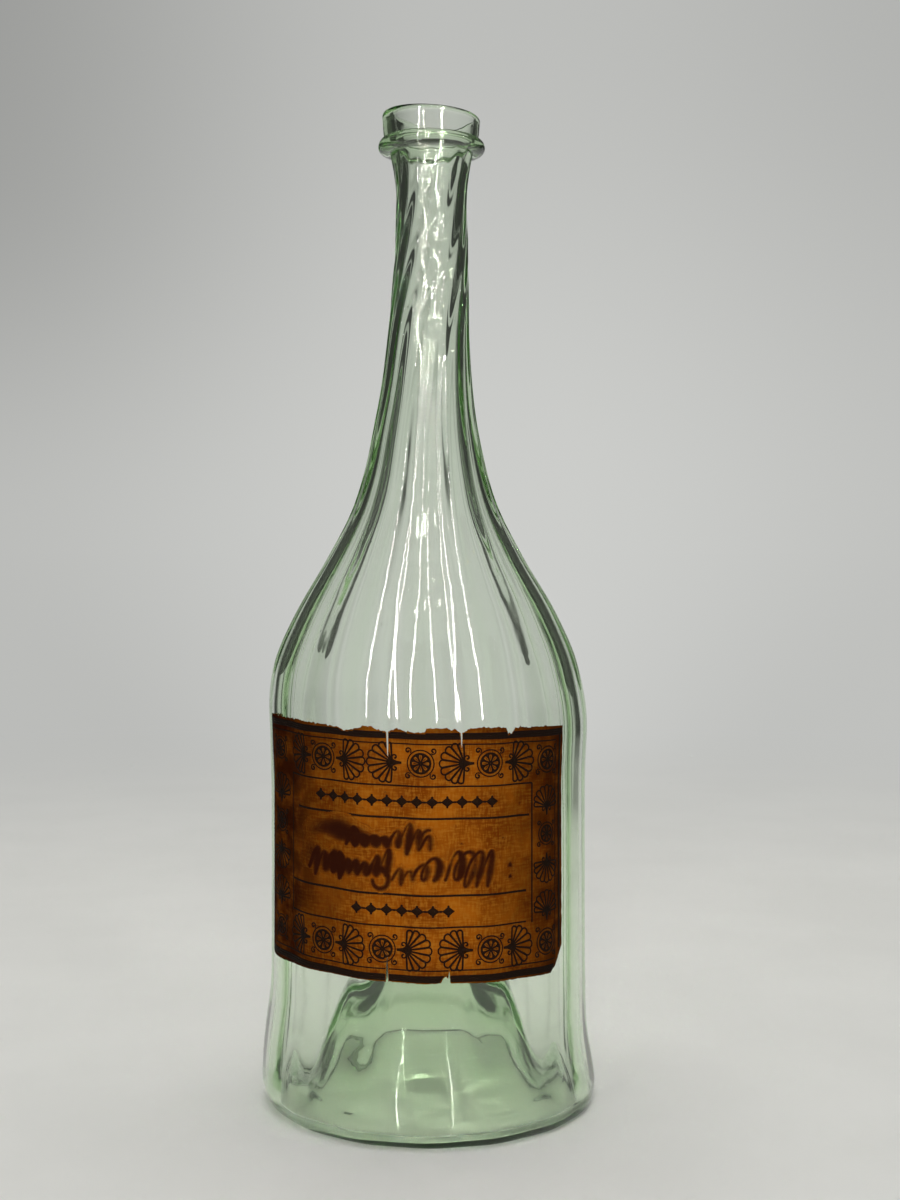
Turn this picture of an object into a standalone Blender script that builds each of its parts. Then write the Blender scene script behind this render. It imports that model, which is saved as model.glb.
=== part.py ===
"""A mould-blown medicine bottle of pale green glass, with a pasted paper label.

The bottle stands on Z = 0 with its axis on +Z, and its label faces -Y.  Lengths are in
metres.  Angles are in degrees round the axis, from -Y towards +X.  The pieces are the blown
body with its pushed-up base, the glass thread laid round the neck, the glass that the
pontil rod left under the base, and the label.
"""

import math

import bpy

# ---------------------------------------------------------------- driving dimensions

HEIGHT = 0.2787             # mean height of the lip
GAP = 0.0003                # clearance between pieces that touch

# The outside of the body, from the heel up to the lip: (height, radius)
OUTSIDE = (
    (0.0064, 0.0477),       # widest part of the heel
    (0.0120, 0.0471),
    (0.0220, 0.0460),
    (0.0360, 0.0451),
    (0.0900, 0.0449),       # the body is waisted here
    (0.1100, 0.0455),       # and swells at the foot of the shoulder
    (0.1220, 0.0439),
    (0.1380, 0.0374),
    (0.1540, 0.0280),
    (0.1700, 0.0200),
    (0.1860, 0.0158),
    (0.2060, 0.0127),
    (0.2360, 0.01075),
    (0.2560, 0.0102),       # narrowest part of the neck
    (0.2660, 0.0114),
    (0.2730, 0.0136),
    (HEIGHT, 0.0140),
)

# How thick the wall is: (height, thickness)
WALL = (
    (0.0064, 0.0028),
    (0.0300, 0.0024),
    (0.0700, 0.0024),
    (0.1500, 0.0026),
    (0.2060, 0.0030),
    (0.2560, 0.0030),
    (HEIGHT, 0.0028),
)

REST_OUTER_RADIUS = 0.0443  # the flat ring that the bottle stands on
REST_INNER_RADIUS = 0.0412

# The pushed-up base, from below and from inside: (radius, height)
BASE_UNDERSIDE = (
    (0.0000, 0.0455),
    (0.0060, 0.0436),
    (0.0115, 0.0380),
    (0.0180, 0.0278),
    (0.0246, 0.0175),
    (0.0310, 0.0088),
    (0.0365, 0.0031),
    (REST_INNER_RADIUS, 0.0),
)
BASE_TOP = (
    (0.0000, 0.0515),
    (0.0070, 0.0498),
    (0.0140, 0.0432),
    (0.0205, 0.0315),
    (0.0240, 0.0255),
    (0.0290, 0.0205),
    (0.0330, 0.0135),
    (0.0368, 0.0066),
    (0.0400, 0.0027),
    (0.0424, 0.0019),
    (0.0447, 0.0042),
)

RIBS = 16                   # soft ribs left by the pattern mould
RIB_DEPTH = 0.00025
RIB_FADE = (0.010, 0.030, 0.262, 0.272)     # heights where the ribs come in and die away
# How far the ribs are wrung round the axis: (height, degrees)
TWIST = (
    (0.000, 0.0),
    (0.150, 0.0),
    (0.187, 3.0),
    (0.214, 9.0),
    (0.262, 65.0),
    (HEIGHT, 75.0),
)
# How far the hand-blown axis wanders sideways: (height, shift along X)
SWAY = (
    (0.0000, 0.0010),
    (0.0064, 0.0),
    (0.0200, -0.0006),
    (0.0360, 0.0),
    (0.1050, 0.0),
    (0.1250, -0.0007),
    (0.1850, -0.0007),
    (0.2150, 0.0001),
    (0.2450, 0.0010),
    (HEIGHT, 0.0009),
)
LIP_TILT = 3.5              # degrees that the lip falls towards +X
LIP_TILT_FROM = 0.2725      # height where the tilt begins, above the string ring

RING_LOW = 0.2673           # the string ring laid round the neck
RING_HIGH = 0.2718
RING_RADIUS = 0.0155

SCAR_THICKNESS = (0.0011, 0.0010, 0.0008, 0.0004)   # pontil glass, from its middle out

PAPER_THICKNESS = 0.00025
# The label's edges: (angle, height)
LABEL_TOP = ((-73.5, 0.1104), (0.0, 0.1090), (55.5, 0.1086))
LABEL_BOTTOM = ((-73.5, 0.0437), (0.0, 0.0438), (55.5, 0.0421))
# Nicks torn into its edges: (angle, depth, half-width in degrees)
TOP_NICKS = ((-13.0, 0.0073, 0.7), (11.9, 0.0042, 0.7), (30.2, 0.0014, 2.2))
BOTTOM_NICKS = ((-13.0, 0.0073, 0.7), (7.6, 0.0040, 2.2))
TORN_CORNER = 7.5           # degrees lost from the lower right-hand corner
TORN_CORNER_HEIGHT = 0.0062

TURN_STEPS = 48             # facets round a turned piece
OUTSIDE_ROWS = 2            # rows of facets between two stations, outside
INSIDE_ROWS = 1             # and inside
BASE_ROW = 0.003            # width of a facet under the base
EDGE_STEPS = 4              # facets round an edge
LABEL_STEP = 5.0            # degrees between the label's columns
LABEL_ROWS = 4
WELD = 0.00001


# ---------------------------------------------------------------- curves and points

def through(stations, at):
    """Value at a place on the smooth curve through (place, value) stations.

    Fritsch and Carlson's monotone cubic, so it never swings past a station.
    """
    places = [place for place, value in stations]
    values = [value for place, value in stations]
    if at <= places[0]:
        return values[0]
    if at >= places[-1]:
        return values[-1]
    slopes = [(v1 - v0) / (p1 - p0)
              for p0, p1, v0, v1 in zip(places, places[1:], values, values[1:])]
    tangents = [slopes[0]]
    for before, after in zip(slopes, slopes[1:]):
        same_way = before * after > 0
        tangents.append(2 * before * after / (before + after) if same_way else 0.0)
    tangents.append(slopes[-1])
    i = max(k for k in range(len(places) - 1) if places[k] <= at)
    span = places[i + 1] - places[i]
    t = (at - places[i]) / span
    return ((1 + 2 * t) * (1 - t) ** 2 * values[i]
            + t * (1 - t) ** 2 * span * tangents[i]
            + t * t * (3 - 2 * t) * values[i + 1]
            - t * t * (1 - t) * span * tangents[i + 1])


def fade(at, start, end):
    """0 before start, 1 after end, smooth between."""
    t = min(max((at - start) / (end - start), 0.0), 1.0)
    return t * t * (3 - 2 * t)


def outer_radius(height):
    return through(OUTSIDE, height)


def inner_radius(height):
    return outer_radius(height) - through(WALL, height)


def base_row(row):
    """Point of the base's underside, counted in rows from the axis."""
    return row * BASE_ROW, through(BASE_UNDERSIDE, row * BASE_ROW)


def wall_heights(rows):
    """Heights from the heel to the lip, with so many rows from one station to the next."""
    heights = [OUTSIDE[0][0]]
    for (low, _), (high, _) in zip(OUTSIDE, OUTSIDE[1:]):
        heights += [low + (high - low) * (row + 1) / rows for row in range(rows)]
    return heights


# ---------------------------------------------------------------- making pieces

def material(name, colour, roughness, transmission=0.0, ior=1.5):
    made = bpy.data.materials.new(name)
    made.use_nodes = True
    shader = made.node_tree.nodes["Principled BSDF"]
    shader.inputs["Base Color"].default_value = (*colour, 1.0)
    shader.inputs["Roughness"].default_value = roughness
    shader.inputs["Metallic"].default_value = 0.0
    shader.inputs["Transmission Weight"].default_value = transmission
    shader.inputs["IOR"].default_value = ior
    made.diffuse_color = (*colour, 1.0)
    return made


def add_object(name, mesh, collection, surface):
    piece = bpy.data.objects.new(name, mesh)
    collection.objects.link(piece)
    mesh.materials.clear()
    mesh.materials.append(surface)
    return piece


def turned(name, profile, closed, collection, surface):
    """A mesh turned round Z from (radius, height) points, ready to be moved by hand."""
    points = [(radius, 0.0, height) for radius, height in profile]
    edges = [(i, i + 1) for i in range(len(points) - 1)]
    if closed:
        edges.append((len(points) - 1, 0))
    outline = bpy.data.meshes.new(name + "_outline")
    outline.from_pydata(points, edges, [])
    guide = bpy.data.objects.new(name + "_outline", outline)
    collection.objects.link(guide)
    screw = guide.modifiers.new("turn", "SCREW")
    screw.axis = "Z"
    screw.steps = TURN_STEPS
    screw.render_steps = TURN_STEPS
    screw.use_merge_vertices = True
    screw.merge_threshold = WELD
    screw.use_smooth_shade = True
    graph = bpy.context.evaluated_depsgraph_get()
    mesh = bpy.data.meshes.new_from_object(guide.evaluated_get(graph))
    mesh.name = name
    bpy.data.objects.remove(guide)
    bpy.data.meshes.remove(outline)
    return add_object(name, mesh, collection, surface)


def press_ribs(mesh):
    """Sink the grooves between the ribs into the outside of the wall."""
    rise_from, rise_to, die_from, die_to = RIB_FADE
    for vertex in mesh.vertices:
        x, y, z = vertex.co
        radius = math.hypot(x, y)
        if z < rise_from or radius < (outer_radius(z) + inner_radius(z)) / 2:
            continue
        strength = fade(z, rise_from, rise_to) * (1 - fade(z, die_from, die_to))
        turn = math.atan2(x, -y) - math.radians(through(TWIST, z))
        groove = RIB_DEPTH * strength * (1 - math.cos(RIBS * turn)) / 2
        vertex.co.x -= groove * x / radius
        vertex.co.y -= groove * y / radius


def lean(mesh):
    """Carry a piece sideways with the wandering axis, and tip the lip."""
    slope = math.tan(math.radians(LIP_TILT))
    for vertex in mesh.vertices:
        height = vertex.co.z
        vertex.co.z -= slope * vertex.co.x * fade(height, LIP_TILT_FROM, HEIGHT)
        vertex.co.x += through(SWAY, height)


# ---------------------------------------------------------------- the pieces

def make_glass_body(collection, surface):
    """The blown body: inside from the axis up to the lip, then down the outside."""
    lip_radius = through(WALL, HEIGHT) / 2
    lip_height = HEIGHT - lip_radius

    profile = list(BASE_TOP)
    profile += [(inner_radius(h), h) for h in wall_heights(INSIDE_ROWS)[1:] if h < lip_height]
    middle = outer_radius(HEIGHT) - lip_radius
    for step in range(EDGE_STEPS + 1):
        angle = math.pi * (1 - step / EDGE_STEPS)
        profile.append((middle + lip_radius * math.cos(angle),
                        lip_height + lip_radius * math.sin(angle)))
    profile += [(outer_radius(h), h) for h in wall_heights(OUTSIDE_ROWS)[::-1] if h < lip_height]
    heel_height, heel_radius = OUTSIDE[0]
    for step in range(1, EDGE_STEPS + 1):
        angle = math.pi / 2 * step / EDGE_STEPS
        swell = (heel_radius - REST_OUTER_RADIUS) * math.cos(angle)
        profile.append((REST_OUTER_RADIUS + swell, heel_height * (1 - math.sin(angle))))
    profile.append((REST_INNER_RADIUS, 0.0))
    last_row = int(REST_INNER_RADIUS / BASE_ROW)
    profile += [base_row(row) for row in range(last_row, -1, -1)]

    body = turned("glass_body", profile, False, collection, surface)
    press_ribs(body.data)
    lean(body.data)
    return body


def make_string_ring(collection, surface):
    """A thread of glass laid round the neck, flat inside and round outside."""
    inner_low = outer_radius(RING_LOW) + GAP
    inner_high = outer_radius(RING_HIGH) + GAP
    half = (RING_HIGH - RING_LOW) / 2
    steps = 2 * EDGE_STEPS
    profile = [(inner_low, RING_LOW + GAP), (inner_high, RING_HIGH - GAP)]
    for step in range(1, steps):
        angle = math.pi * (0.5 - step / steps)
        base = inner_low + (inner_high - inner_low) * (1 - step / steps)
        bulge = (RING_RADIUS - base) * math.cos(angle) ** 0.7
        profile.append((base + bulge, RING_LOW + half + half * math.sin(angle)))
    ring = turned("string_ring", profile, True, collection, surface)
    lean(ring.data)
    return ring


def make_pontil_scar(collection, surface):
    """A shallow boss of glass under the top of the pushed-up base."""
    top = [(base_row(row)[0], base_row(row)[1] - GAP) for row in range(len(SCAR_THICKNESS))]
    bottom = [(radius, height - thickness)
              for (radius, height), thickness in zip(top, SCAR_THICKNESS)]
    scar = turned("pontil_scar", top + bottom[::-1], False, collection, surface)
    lean(scar.data)
    return scar


def nick(nicks, angle):
    """How far the tears reach in from an edge at an angle."""
    return max(depth * max(0.0, 1 - abs(angle - at) / half) for at, depth, half in nicks)


def label_angles():
    """The label's columns: even ones, and one at each point of a nick."""
    left, right = LABEL_TOP[0][0], LABEL_TOP[-1][0]
    fixed = [left, right, right - TORN_CORNER]
    for at, _, half in TOP_NICKS + BOTTOM_NICKS:
        fixed += [at - half, at, at + half]
    columns = sorted(set(fixed))
    spaced = []
    for low, high in zip(columns, columns[1:]):
        steps = max(1, round((high - low) / LABEL_STEP))
        spaced += [low + (high - low) * step / steps for step in range(steps)]
    return spaced + [right]


def make_paper_label(collection, surface):
    """The label: one sheet bent round the body, with its edges torn."""
    angles = label_angles()
    right = angles[-1]
    points = []
    for angle in angles:
        top = through(LABEL_TOP, angle) - nick(TOP_NICKS, angle)
        bottom = through(LABEL_BOTTOM, angle) + nick(BOTTOM_NICKS, angle)
        into_corner = max(0.0, 1 - (right - angle) / TORN_CORNER)
        bottom += TORN_CORNER_HEIGHT * into_corner
        turn = math.radians(angle)
        for row in range(LABEL_ROWS + 1):
            height = bottom + (top - bottom) * row / LABEL_ROWS
            radius = outer_radius(height) + GAP
            points.append((radius * math.sin(turn), -radius * math.cos(turn), height))
    faces = []
    stride = LABEL_ROWS + 1
    for column in range(len(angles) - 1):
        for row in range(LABEL_ROWS):
            corner = column * stride + row
            faces.append((corner, corner + stride, corner + stride + 1, corner + 1))
    mesh = bpy.data.meshes.new("paper_label")
    mesh.from_pydata(points, [], faces)
    mesh.shade_smooth()
    lean(mesh)
    label = add_object("paper_label", mesh, collection, surface)
    paper = label.modifiers.new("paper", "SOLIDIFY")
    paper.thickness = PAPER_THICKNESS
    paper.offset = 1.0
    return label


# ---------------------------------------------------------------- the bottle

def main():
    for old in list(bpy.data.objects):
        bpy.data.objects.remove(old)
    collection = bpy.data.collections.new("medicine_bottle")
    bpy.context.scene.collection.children.link(collection)

    green_glass = material("green_glass", (0.74, 0.86, 0.76), 0.03, transmission=1.0)
    ring_glass = material("ring_glass", (0.72, 0.85, 0.74), 0.04, transmission=1.0)
    scar_glass = material("scar_glass", (0.62, 0.78, 0.66), 0.35, transmission=1.0)
    aged_paper = material("aged_paper", (0.36, 0.17, 0.055), 0.75)

    make_glass_body(collection, green_glass)
    make_string_ring(collection, ring_glass)
    make_pontil_scar(collection, scar_glass)
    make_paper_label(collection, aged_paper)


main()
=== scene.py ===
"""The looks of an old medicine bottle: pale green blown glass with a pasted paper label.

Lengths are in metres, heights are above the surface that the bottle stands on, and angles
are in degrees round the axis, from -Y towards +X.  The label faces -Y.  The glass body, the
string ring, the pontil scar and the label are made again here at full detail, in the places
of their CAD nodes, and the label gets its printing and its faded pen strokes.
"""

import math

import bmesh
import bpy
import numpy as np
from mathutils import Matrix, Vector


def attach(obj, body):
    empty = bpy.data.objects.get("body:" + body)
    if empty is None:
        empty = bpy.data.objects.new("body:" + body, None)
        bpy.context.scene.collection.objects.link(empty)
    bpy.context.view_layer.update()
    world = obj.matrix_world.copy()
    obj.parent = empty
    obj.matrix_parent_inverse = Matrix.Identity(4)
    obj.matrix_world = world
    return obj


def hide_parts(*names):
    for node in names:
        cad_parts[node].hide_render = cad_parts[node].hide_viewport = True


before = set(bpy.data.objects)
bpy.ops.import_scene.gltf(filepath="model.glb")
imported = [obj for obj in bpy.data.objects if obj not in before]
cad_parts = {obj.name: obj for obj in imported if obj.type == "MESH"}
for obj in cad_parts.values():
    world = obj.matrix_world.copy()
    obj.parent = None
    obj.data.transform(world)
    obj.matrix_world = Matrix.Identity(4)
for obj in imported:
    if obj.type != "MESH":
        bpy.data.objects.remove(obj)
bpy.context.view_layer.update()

# -------- shape of the glass

HEIGHT = 0.2787             # mean height of the lip

# The outside, from the heel up to the lip: (height, radius)
OUTSIDE = (
    (0.0064, 0.0477), (0.0120, 0.0471), (0.0220, 0.0460), (0.0360, 0.0451),
    (0.0900, 0.0449), (0.1100, 0.0455), (0.1220, 0.0439), (0.1380, 0.0374),
    (0.1540, 0.0280), (0.1700, 0.0200), (0.1860, 0.0158), (0.2060, 0.0127),
    (0.2360, 0.01075), (0.2560, 0.0102), (0.2660, 0.0114), (0.2730, 0.0136),
    (HEIGHT, 0.0140),
)
# How thick the wall is: (height, thickness)
WALL = (
    (0.0064, 0.0028), (0.0300, 0.0024), (0.0700, 0.0024), (0.1500, 0.0026),
    (0.2060, 0.0030), (0.2560, 0.0030), (HEIGHT, 0.0028),
)
# The pushed-up base, from below and from inside: (radius, height)
UNDERSIDE = (
    (0.0000, 0.0455), (0.0060, 0.0436), (0.0115, 0.0380), (0.0180, 0.0278),
    (0.0246, 0.0175), (0.0310, 0.0088), (0.0365, 0.0031), (0.0412, 0.0000),
)
BASE_TOP = (
    (0.0000, 0.0515), (0.0070, 0.0498), (0.0140, 0.0432), (0.0205, 0.0315),
    (0.0240, 0.0255), (0.0290, 0.0205), (0.0330, 0.0135), (0.0368, 0.0066),
    (0.0400, 0.0027), (0.0424, 0.0019), (0.0447, 0.0042),
)
REST_OUTER_RADIUS = 0.0443  # outer edge of the ring that it stands on

RIBS = 16                   # soft ribs left by the pattern mould
# How deep the grooves between them are, outside: (height, depth)
RIB_DEPTH = (
    (0.0000, 0.00015), (0.0060, 0.00040), (0.0200, 0.00070), (0.0800, 0.00078),
    (0.1160, 0.00105), (0.1400, 0.00084), (0.1600, 0.00072), (0.2060, 0.00068),
    (0.2580, 0.00058), (0.2700, 0.00000),
)
RIB_INSIDE = 0.10           # the share of that depth that the inside follows
# How far the ribs are wrung round the axis: (height, degrees)
TWIST = (
    (0.000, 0), (0.150, 0), (0.187, 3), (0.214, 9), (0.262, 65), (HEIGHT, 75),
)
# How far the hand-blown axis wanders sideways: (height, shift along X)
SWAY = (
    (0.0000, 0.0010), (0.0064, 0.0000), (0.0200, -0.0006), (0.0360, 0.0000),
    (0.1050, 0.0000), (0.1250, -0.0007), (0.1850, -0.0007), (0.2150, 0.0001),
    (0.2450, 0.0010), (HEIGHT, 0.0009),
)
LIP_TILT = 3.5              # degrees that the lip falls towards +X
LIP_TILT_FROM = 0.2725
BORE_SHIFT = 0.0006         # the bore lies off centre in the lip, towards +X

CHAIN_STEP = 0.0001         # spacing of the outline before it is thinned to rows
COLUMNS, ROWS = 224, 425    # of the finished glass
SWAY_LEVELS = 600           # heights at which SWAY is worked out
CRISP, SOFT = 0.0006, 0.0028        # how far the outline is rounded: at lip and heel, elsewhere

# How far the wall is uneven: slow waves, quick ones, and more quick ones in the neck
SLOW_WAVES, QUICK_WAVES, NECK_WAVES = 0.00009, 0.000018, 0.00003
UNDERSIDE_REACH = (0.036, 0.050)    # radius and height that the pushed-up underside keeps within
RIB_UNDERSIDE = 0.15        # the share of the ribs' depth that shows there
REST_BAND = 0.0003          # the glass below this height only moves up

SEEDS = 46                  # bubbles trapped in the wall
SEED_HEIGHTS, SEED_RADII, SEED_STRETCH = (0.030, 0.235), (0.00008, 0.00022), (1.2, 4.0)


# -------- curves and fields

def through(stations, at):
    """Value at a place on the smooth curve through (place, value) stations.

    Fritsch and Carlson's monotone cubic, so it never swings past a station.
    """
    places = [place for place, value in stations]
    values = [value for place, value in stations]
    if at <= places[0]:
        return values[0]
    if at >= places[-1]:
        return values[-1]
    slopes = [(v1 - v0) / (p1 - p0)
              for p0, p1, v0, v1 in zip(places, places[1:], values, values[1:])]
    tangents = [slopes[0]]
    for before, after in zip(slopes, slopes[1:]):
        same_way = before * after > 0
        tangents.append(2 * before * after / (before + after) if same_way else 0.0)
    tangents.append(slopes[-1])
    i = max(k for k in range(len(places) - 1) if places[k] <= at)
    span = places[i + 1] - places[i]
    t = (at - places[i]) / span
    return ((1 + 2 * t) * (1 - t) ** 2 * values[i]
            + t * (1 - t) ** 2 * span * tangents[i]
            + t * t * (3 - 2 * t) * values[i + 1]
            - t * t * (1 - t) * span * tangents[i + 1])


def fade(at, start, end):
    """0 before start, 1 after end, smooth between. Takes a number or an array."""
    t = np.clip((at - start) / (end - start), 0.0, 1.0)
    return t * t * (3 - 2 * t)


def ripples(turn, height, seed, waves, span):
    """Gentle unevenness between -1 and 1, as in hand-blown glass, with waves about that long."""
    dice = np.random.default_rng(seed)
    height_sum = 0.0
    for _ in range(waves):
        around = dice.integers(1, 7)
        along = 2 * math.pi / (span * dice.uniform(0.6, 1.6))
        phase = dice.uniform(0, 2 * math.pi)
        height_sum = height_sum + np.cos(around * turn + along * height + phase)
    return height_sum / waves


def smoothed(chain, sigma):
    """The chain of points after a Gaussian blur along it; its ends are mirrored in the axis."""
    reach = int(4 * sigma / CHAIN_STEP)
    offsets = np.arange(-reach, reach + 1) * CHAIN_STEP
    weights = np.exp(-(offsets / sigma) ** 2 / 2)
    weights /= weights.sum()
    mirror = np.array([-1.0, 1.0])
    longer = np.vstack([chain[reach:0:-1] * mirror, chain, chain[-2:-reach - 2:-1] * mirror])
    return np.column_stack([np.convolve(longer[:, k], weights, "valid") for k in (0, 1)])


def evenly(points):
    """The same chain with points CHAIN_STEP apart."""
    points = np.array(points)
    lengths = np.hypot(*np.diff(points, axis=0).T)
    at = np.concatenate([[0.0], np.cumsum(lengths)])
    wanted = np.arange(0.0, at[-1], CHAIN_STEP)
    return np.column_stack([np.interp(wanted, at, points[:, k]) for k in (0, 1)])


def outer_radius(height):
    return through(OUTSIDE, height)


def inner_radius(height):
    return outer_radius(height) - through(WALL, height)


# -------- making meshes

def new_object(name, data):
    made = bpy.data.objects.new(name, data)
    bpy.context.scene.collection.objects.link(made)
    return made


def add_piece(name, mesh, surface, slot, *nodes):
    """A piece of the bottle, which stands for those CAD nodes."""
    piece = new_object(name, mesh)
    mesh.materials.append(surface)
    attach(piece, "root")
    if nodes:
        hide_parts(*nodes)
    return piece


def grid_faces(rows, columns, closed_rows=False, closed_columns=False):
    """Quads of a grid of points laid out row by row, which may join up either way."""
    row, column = np.meshgrid(np.arange(rows - (not closed_rows)),
                              np.arange(columns - (not closed_columns)), indexing="ij")
    above, after = (row + 1) % rows, (column + 1) % columns
    corners = [row * columns + column, row * columns + after,
               above * columns + after, above * columns + column]
    return np.stack(corners, -1).reshape(-1, 4).tolist()


def closed_mesh(name, vertices, faces):
    """A smooth closed mesh with its faces turned outwards."""
    mesh = bpy.data.meshes.new(name)
    mesh.from_pydata(vertices, [], faces)
    work = bmesh.new()
    work.from_mesh(mesh)
    if work.calc_volume(signed=True) < 0:
        bmesh.ops.reverse_faces(work, faces=work.faces)
    work.to_mesh(mesh)
    work.free()
    mesh.shade_smooth()
    return mesh


def capped_mesh(name, points, poles):
    """A closed mesh from rings of points (rows, columns, 3) and a pole beyond each end."""
    rows, columns = points.shape[:2]
    faces = grid_faces(rows, columns, closed_columns=True)
    first, last = rows * columns, rows * columns + 1
    for column in range(columns):
        after = (column + 1) % columns
        faces.append((first, after, column))
        faces.append((last, (rows - 1) * columns + column, (rows - 1) * columns + after))
    return closed_mesh(name, points.reshape(-1, 3).tolist() + poles.tolist(), faces)


def ring_of_turns(count):
    """Equal angles once round, in radians."""
    return np.linspace(0.0, 2 * math.pi, count, endpoint=False)


def at_turn(radius, turn, height):
    """The point, or points, at a radius, an angle in radians and a height."""
    return np.stack(np.broadcast_arrays(radius * np.sin(turn), -radius * np.cos(turn), height), -1)


def lean(points):
    """Carry points sideways with the wandering axis, and tip the lip."""
    slope = math.tan(math.radians(LIP_TILT))
    heights = points[..., 2].copy()
    points[..., 2] -= slope * points[..., 0] * fade(heights, LIP_TILT_FROM, HEIGHT)
    levels = np.linspace(0.0, HEIGHT, SWAY_LEVELS)
    points[..., 0] += np.interp(heights, levels, [through(SWAY, level) for level in levels])
    return points


# -------- the glass body

def wall_outline():
    """The wall's outline, from under the middle of the base, out and up, and back inside.

    Gives the points, and for each of them how much of the outside it has (1 outside, 0 inside).
    """
    steps, bends = 400, 50
    rest_inner_radius = UNDERSIDE[-1][0]
    parts = [[(r, through(UNDERSIDE, r)) for r in np.linspace(0.0, rest_inner_radius, steps)]]
    heel_height, heel_radius = OUTSIDE[0]
    parts.append([(REST_OUTER_RADIUS + (heel_radius - REST_OUTER_RADIUS) * math.cos(turn),
                   heel_height * (1 - math.sin(turn)))
                  for turn in np.linspace(math.pi / 2, 0.0, bends)])
    lip_radius = through(WALL, HEIGHT) / 2
    lip_height = HEIGHT - lip_radius
    parts.append([(outer_radius(h), h) for h in np.linspace(heel_height, lip_height, 3 * steps)])
    middle = outer_radius(HEIGHT) - lip_radius
    parts.append([(middle + lip_radius * math.cos(turn), lip_height + lip_radius * math.sin(turn))
                  for turn in np.linspace(0.0, math.pi, bends)])
    parts.append([(inner_radius(h), h)
                  for h in np.linspace(lip_height, OUTSIDE[1][0], 3 * steps)])
    parts.append([(r, through(BASE_TOP, r)) for r in np.linspace(BASE_TOP[-1][0], 0.0, steps)])
    points = evenly([point for part in parts for point in part])

    crisp = smoothed(points, CRISP)
    soft = smoothed(points, SOFT)
    softness = (fade(points[:, 1], 0.012, 0.026) * (1 - fade(points[:, 1], 0.250, 0.264))
                + (points[:, 0] < 0.037) * (points[:, 1] < 0.052))
    softness = smoothed(np.column_stack([softness, softness]), 0.002)[:, 1:]
    softness = np.clip(softness, 0.0, 1.0)
    outline = crisp * (1 - softness) + soft * softness
    outline[:, 1] -= outline[:, 1].min()
    top = outline[:, 1].argmax()
    outside = 1 - fade(np.arange(len(outline)), top - 8, top + 8)
    return outline, outside


def wall_rows():
    """The outline thinned to ROWS rows, closest where it curves most, with its normals."""
    outline, outside = wall_outline()
    heights, radii = outline[:, 1], outline[:, 0]
    closeness = (1.0 + 2.2 * fade(heights, 0.258, 0.266)
                 + 2.4 * (1 - fade(heights, 0.008, 0.016)) * (radii > 0.030))
    along = np.cumsum(closeness)
    wanted = np.linspace(along[3], along[-4], ROWS)
    picked = [np.interp(wanted, along, values) for values in (radii, heights, outside)]
    slope_r, slope_h = np.gradient(radii), np.gradient(heights)
    length = np.hypot(slope_r, slope_h)
    normal_r = np.interp(wanted, along, slope_h / length)
    normal_h = np.interp(wanted, along, -slope_r / length)
    poles = np.array([(0.0, 0.0, heights[0]), (0.0, 0.0, heights[-1])])
    return (*picked, normal_r, normal_h, poles)


def groove_depth(turn, height):
    """How far the outside sinks between the ribs."""
    wrung = turn - math.radians(through(TWIST, height))
    return through(RIB_DEPTH, height) * (1 - np.cos(RIBS * wrung)) / 2


def outside_radius(turn, height):
    """Radius of the finished outside at an angle and a height, before it leans."""
    return outer_radius(height) - groove_depth(turn, height)


def glass_body_mesh():
    """The outline turned round the axis: ribbed, wrung, a little uneven, and leaning."""
    radii, heights, outside, normal_r, normal_h, poles = wall_rows()
    turns = ring_of_turns(COLUMNS)
    points = np.zeros((ROWS, COLUMNS, 3))
    for row in range(ROWS):
        r, h, share = radii[row], heights[row], outside[row]
        is_outside = share > 0.5
        wall = share - (1 - share) * RIB_INSIDE
        groove = groove_depth(turns, h) * wall * fade(r, 0.004, 0.020)
        if is_outside and r < UNDERSIDE_REACH[0] and h < UNDERSIDE_REACH[1]:
            groove = groove * RIB_UNDERSIDE
        free = fade(h, 0.008, 0.030) * (1 - fade(h, 0.2755, HEIGHT))
        slow = ripples(turns, h, 11 if is_outside else 23, 7, 0.030) - 1
        quick = ripples(turns * 2, h, 31 if is_outside else 47, 9, 0.009) - 1
        quick_depth = QUICK_WAVES + NECK_WAVES * fade(h, 0.185, 0.235)
        push = free * (SLOW_WAVES * slow + quick_depth * quick) - groove
        on_rest = h <= REST_BAND
        ring_h = h - push if on_rest else h + push * normal_h[row]
        points[row] = at_turn(r + push * normal_r[row], turns, ring_h)
        points[row, :, 0] += (1 - share) * BORE_SHIFT * fade(h, 0.262, 0.272)
    return capped_mesh("glass_body", lean(points), lean(poles))


def add_seeds(mesh):
    """Small stretched bubbles in the middle of the wall: cavities with their faces turned in."""
    dice = np.random.default_rng(7)
    work = bmesh.new()
    work.from_mesh(mesh)
    for _ in range(SEEDS):
        height = dice.uniform(*SEED_HEIGHTS)
        turn = dice.uniform(0, 2 * math.pi)
        width = dice.uniform(*SEED_RADII)
        stretch = dice.uniform(*SEED_STRETCH)
        radius = (outside_radius(turn, height) + inner_radius(height)) / 2
        place = lean(at_turn(radius, turn, height))
        made = bmesh.ops.create_icosphere(work, subdivisions=2, radius=width)
        for vertex in made["verts"]:
            vertex.co.z *= stretch
            vertex.co += Vector(place)
        faces = {face for vertex in made["verts"] for face in vertex.link_faces}
        bmesh.ops.reverse_faces(work, faces=list(faces))
        for face in faces:
            face.smooth = True
    work.to_mesh(mesh)
    work.free()


# -------- ring and scar

RING_LOW, RING_HIGH = 0.2673, 0.2718    # the string ring laid round the neck
RING_RADIUS = 0.0155
RING_SINK = 0.0003          # how deep it is melted into the neck
RING_LAP = math.radians(205)        # where the thread's end laps over its start
RING_SWELL, RING_THIN = 0.16, 0.10  # how much fatter its end and thinner its start are
RING_FLAT = 0.0002          # how far its inner side bulges into the neck


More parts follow.
